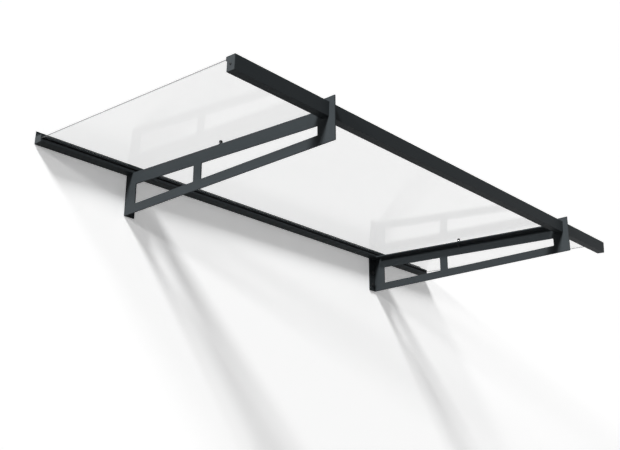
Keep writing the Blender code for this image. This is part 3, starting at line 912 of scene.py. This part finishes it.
@dataclass
class SheetBolts:
    """The stacks that hold the sheet down on the brackets' top flanges."""

    finishes: Finishes
    thread: Thread = Thread(radius=0.003, pitch=0.001, depth=0.00055)
    thread_length: float = 0.018
    tip: float = 0.0006
    play: float = 0.0002
    head_gap: float = 0.0003
    head_edge: float = 0.0003
    rim_height: float = 0.0019
    dome_steps: int = 8
    recess_across: float = 0.004
    recess_depth: float = 0.0028
    recess_cone: float = 0.0004
    recess_bevel: float = 0.0002
    crown_share: float = 1.2
    nut_bevel: float = 0.0005
    pad_bulge: float = 0.00025
    spacer_bulge: float = 0.0005

    def bolt(self, seat: Seat) -> bpy.types.Mesh:
        """A domed head with a hexagon recess, and a threaded shank.

        Args:
            seat: the CAD bolt's seat.

        Returns:
            The mesh.
        """
        low, high = seat.corners()
        pad = Seat(seat.node.replace("sheet_bolt", "bolt_pad"), seat.turn)
        under = pad.corners()[1].z + self.head_gap
        floor = high.z - self.recess_depth
        head = DomedHead(
            radius=seat.radius(),
            top=high.z,
            rim=under + self.rim_height,
            under=under,
            crown=self.recess_across / 2 * self.crown_share,
            edge=self.head_edge,
            steps=self.dome_steps,
            recess=Recess(self.recess_across, floor, floor - self.recess_cone, self.recess_bevel),
        )
        rings = head.rings()
        rings.append(circle_ring(self.thread.radius, under))
        rings += self.thread.rings(low.z + self.thread_length, low.z + self.tip)
        rings.append(circle_ring(self.thread.radius - self.tip, low.z))
        return lofted(seat.node, rings)

    def nut(self, seat: Seat) -> bpy.types.Mesh:
        """A hexagon nut, chamfered at both faces and round its bore.

        Args:
            seat: the CAD nut's seat.

        Returns:
            The mesh.
        """
        low, high = seat.corners()
        across = 2 * seat.radius() * cos(pi / 6)
        bore = self.thread.radius + self.play
        mouth = bore + self.nut_bevel
        flat = flat_radius(across)
        rings = circles([(bore, high.z - self.nut_bevel), (mouth, high.z), (flat, high.z)])
        rings.append(hexagon_ring(across, high.z, -CHAMFER_SLOPE))
        rings.append(hexagon_ring(across, low.z, CHAMFER_SLOPE))
        rings += circles([(flat, low.z), (mouth, low.z), (bore, low.z + self.nut_bevel)])
        return lofted(seat.node, rings, joined=True)

    def build(self) -> None:
        """Builds both stacks."""
        bore = self.thread.radius + self.play
        for end in ENDS:
            bolt = Seat(f"sheet_bolt_{end}", Turn.OFF_ROOF)
            stand_in(bolt, self.bolt(bolt), self.finishes.screw)
            nut = Seat(f"flange_nut_{end}", Turn.OFF_ROOF)
            stand_in(nut, self.nut(nut), self.finishes.screw)
            disc = Seat(f"nut_washer_{end}", Turn.OFF_ROOF)
            stand_in(disc, washer(disc, bore), self.finishes.screw)
            for part, bulge in (("bolt_pad", self.pad_bulge), ("sheet_spacer", self.spacer_bulge)):
                seat = Seat(f"{part}_{end}", Turn.OFF_ROOF)
                stand_in(seat, cushion(seat, bore, bulge), self.finishes.seal)


@dataclass
class WallScrews:
    """The screws and washers in the brackets' wall flanges."""

    finishes: Finishes
    shank: float = 0.004
    play: float = 0.0003
    head_gap: float = 0.0003
    collar_height: float = 0.0006
    dish_depth: float = 0.0003
    dish_floor_share: float = 0.55
    dish_mouth_share: float = 0.62

    def screw(self, seat: Seat, disc: Seat) -> bpy.types.Mesh:
        """A dished and chamfered hexagon head on a small round collar, and its shank.

        Args:
            seat: the CAD screw's seat.
            disc: the seat of the washer under its head.

        Returns:
            The mesh.
        """
        low, high = seat.corners()
        across = high.y - low.y
        under = disc.corners()[1].z + self.head_gap
        collar = under + self.collar_height
        flat = flat_radius(across)
        dish = (flat * self.dish_floor_share, high.z - self.dish_depth)
        rings = circles([dish, (flat * self.dish_mouth_share, high.z), (flat, high.z)])
        rings.append(hexagon_ring(across, high.z, -CHAMFER_SLOPE))
        rings.append(hexagon_ring(across, collar))
        rings += circles([(flat, collar), (flat, under), (self.shank, under), (self.shank, low.z)])
        return lofted(seat.node, rings)

    def build(self) -> None:
        """Builds the screws and washers of both brackets."""
        for end in ENDS:
            for level in LEVELS:
                disc = Seat(f"wall_washer_{end}_{level}", Turn.OFF_WALL)
                mesh = washer(disc, self.shank + self.play)
                stand_in(disc, mesh, self.finishes.screw)
                seat = Seat(f"wall_screw_{end}_{level}", Turn.OFF_WALL)
                stand_in(seat, self.screw(seat, disc), self.finishes.screw)


@dataclass(frozen=True)
class ScrewSize:
    """A small screw's head height and its thread's radius."""

    head_height: float
    shank: float


@dataclass
class SmallScrews:
    """The rail's screws and the screws of the beam's end caps."""

    finishes: Finishes
    rail_screw: ScrewSize = ScrewSize(0.0026, 0.0021)
    cap_screw: ScrewSize = ScrewSize(0.0022, 0.00145)
    recess_share: float = 0.31
    recess_depth_share: float = 0.55
    crown_share: float = 1.25
    rim_share: float = 0.35
    head_edge: float = 0.0001
    dome_steps: int = 6
    thread_pitch: float = 0.0012
    thread_depth_share: float = 0.22
    thread_start: float = 0.0006
    tip_length: float = 0.0005
    tip_share: float = 0.6

    def screw(self, seat: Seat, size: ScrewSize) -> bpy.types.Mesh:
        """A low domed head with a hexagon recess, and a threaded shank.

        Args:
            seat: the CAD screw's seat.
            size: its head's height and its thread's radius.

        Returns:
            The mesh.
        """
        low, high = seat.corners()
        under = high.z - size.head_height
        across = 2 * seat.radius() * self.recess_share
        floor = high.z - size.head_height * self.recess_depth_share
        head = DomedHead(
            radius=seat.radius(),
            top=high.z,
            rim=under + size.head_height * self.rim_share,
            under=under,
            crown=across / 2 * self.crown_share,
            edge=self.head_edge,
            steps=self.dome_steps,
            recess=Recess(across, floor, floor, self.head_edge),
        )
        thread = Thread(size.shank, self.thread_pitch, size.shank * self.thread_depth_share)
        rings = head.rings()
        rings.append(circle_ring(size.shank, under))
        rings += thread.rings(under - self.thread_start, low.z + self.tip_length)
        rings.append(circle_ring(size.shank * self.tip_share, low.z))
        return lofted(seat.node, rings)

    def build(self) -> None:
        """Builds every small screw."""
        number = 1
        while f"rail_screw_{number}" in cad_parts:
            seat = Seat(f"rail_screw_{number}", Turn.OFF_WALL)
            stand_in(seat, self.screw(seat, self.rail_screw), self.finishes.screw)
            number += 1
        for end, turn in zip(ENDS, (Turn.TO_LEFT, Turn.TO_RIGHT)):
            seat = Seat(f"beam_cap_screw_{end}", turn)
            stand_in(seat, self.screw(seat, self.cap_screw), self.finishes.screw)


@dataclass(frozen=True)
class Lamp:
    """A soft lamp far away: the way its light goes, its strength, and how wide it looks in degrees."""

    name: str
    travel: Way
    strength: float
    width: float

    def build(self) -> None:
        """Adds the lamp."""
        light = bpy.data.lights.new(self.name, "SUN")
        light.energy = self.strength
        light.angle = radians(self.width)
        holder = bpy.data.objects.new(self.name, light)
        holder.rotation_euler = Vector(self.travel).to_track_quat("-Z", "Y").to_euler()
        bpy.context.collection.objects.link(holder)


@dataclass(frozen=True)
class StagePaint:
    """A matt paint: how much light it sends back, and how much it shines by itself."""

    shade: float
    glow: float

    def surface(self, graph: Graph, solid: Socket) -> Socket:
        """Shows the paint where it is solid, and lets light through elsewhere.

        Args:
            graph: the material's graph.
            solid: 1 where the paint is solid, 0 where light goes through.

        Returns:
            The shader.
        """
        matt = graph.node("ShaderNodeBsdfDiffuse", None, {"Color": scaled(WHITE, self.shade)})
        shine = graph.node("ShaderNodeEmission", None, {"Color": WHITE, "Strength": self.glow})
        lit = graph.node("ShaderNodeAddShader", None, {0: matt, 1: shine})
        return graph.mix(solid, graph.clear(), lit)


@dataclass
class Studio:
    """The pale backdrop on the wall's plane, the floor, the light and the camera."""

    wall_reach: float = 9.0
    wall_offset: float = 0.0006
    wall_paint: StagePaint = StagePaint(1.3, 0.25)
    floor_height: float = -2.3
    floor_reach: float = 14.0
    floor_paint: StagePaint = StagePaint(0.62, 0.2)
    key: Lamp = Lamp("key_light", (0.90, 0.37, -1.0), 4.2, 11.0)
    side: Lamp = Lamp("side_light", (1.0, 0.09, -0.27), 3.2, 7.0)
    back: Lamp = Lamp("back_light", (-0.5, -0.8, -0.55), 2.0, 11.0)
    light_all_round: float = 0.25
    light_from_wall: float = 0.15
    light_from_above: float = 0.04
    camera_place: Way = (-2.2806, -2.2732, -1.1171)
    camera_lift: float = 18.7407
    camera_turn: float = -47.9832
    camera_lens: float = 51.81
    camera_near: float = 0.05
    camera_far: float = 60.0

    def plane(self, name: str, corners: Sequence[Way], look: bpy.types.Material) -> None:
        """Adds one stage plane.

        Args:
            name: its name.
            corners: its corners, anticlockwise from the side that it faces.
            look: its material.
        """
        mesh = bpy.data.meshes.new(name)
        mesh.from_pydata([Vector(corner) for corner in corners], [], [range(len(corners))])
        mesh.materials.append(look)
        plane = bpy.data.objects.new(name, mesh)
        bpy.context.collection.objects.link(plane)

    def backdrop(self) -> None:
        """Adds the backdrop, seen from its front only and open to light, so it hides nothing from behind."""
        material, graph = new_material("backdrop_white")
        behind = graph.node("ShaderNodeNewGeometry", None, None, "Backfacing")
        show(graph, self.wall_paint.surface(graph, graph.seen() * (1 - behind)))
        far, y = self.wall_reach, self.wall_offset
        corners = [(-far, y, -far), (far, y, -far), (far, y, far), (-far, y, far)]
        self.plane("backdrop", corners, material)

    def floor(self) -> None:
        """Adds the floor, which takes shadows and throws no light back up."""
        material, graph = new_material("floor_pale")
        show(graph, self.floor_paint.surface(graph, 1 - graph.ray("Is Diffuse Ray")))
        far, z = self.floor_reach, self.floor_height
        corners = [(-far, -far, z), (far, -far, z), (far, far, z), (-far, far, z)]
        self.plane("floor", corners, material)

    def world(self) -> None:
        """Makes a world that looks white, and lights softly, more from the wall's side and from above."""
        world = bpy.data.worlds.new("soft_white")
        bpy.context.scene.world = world
        world.use_nodes = True
        graph = Graph(world.node_tree)
        way = graph.node("ShaderNodeTexCoord", None, None, "Generated")
        wallward = self.light_from_wall * graph.axis(way, "Y")
        upward = self.light_from_above * graph.axis(way, "Z")
        light = self.light_all_round + wallward + upward
        seen = graph.seen()
        sockets = {"Color": WHITE, "Strength": seen + (1 - seen) * light}
        background = graph.node("ShaderNodeBackground", None, sockets)
        graph.node("ShaderNodeOutputWorld", None, {"Surface": background})

    def camera(self) -> None:
        """Puts the camera where the photograph was taken from."""
        lens = bpy.data.cameras.new("camera")
        lens.lens = self.camera_lens
        lens.clip_start = self.camera_near
        lens.clip_end = self.camera_far
        holder = bpy.data.objects.new("camera", lens)
        holder.location = self.camera_place
        holder.rotation_euler = Euler((radians(90 + self.camera_lift), 0, radians(self.camera_turn)))
        bpy.context.collection.objects.link(holder)
        bpy.context.scene.camera = holder

    def build(self) -> None:
        """Builds the stage, the light and the camera."""
        self.backdrop()
        self.floor()
        self.world()
        for lamp in (self.key, self.side, self.back):
            lamp.build()
        self.camera()
        bpy.context.scene.view_settings.view_transform = "Standard"
        LOG.info("the stage stands")


def main() -> None:
    """Builds the canopy's looks and its stage."""
    logging.basicConfig(level=logging.INFO, format="%(message)s")
    finishes = Finishes.mixed()
    for part in (Framework, Roof, SheetBolts, WallScrews, SmallScrews):
        part(finishes).build()
    Studio().build()


if __name__ == "__main__":
    main()
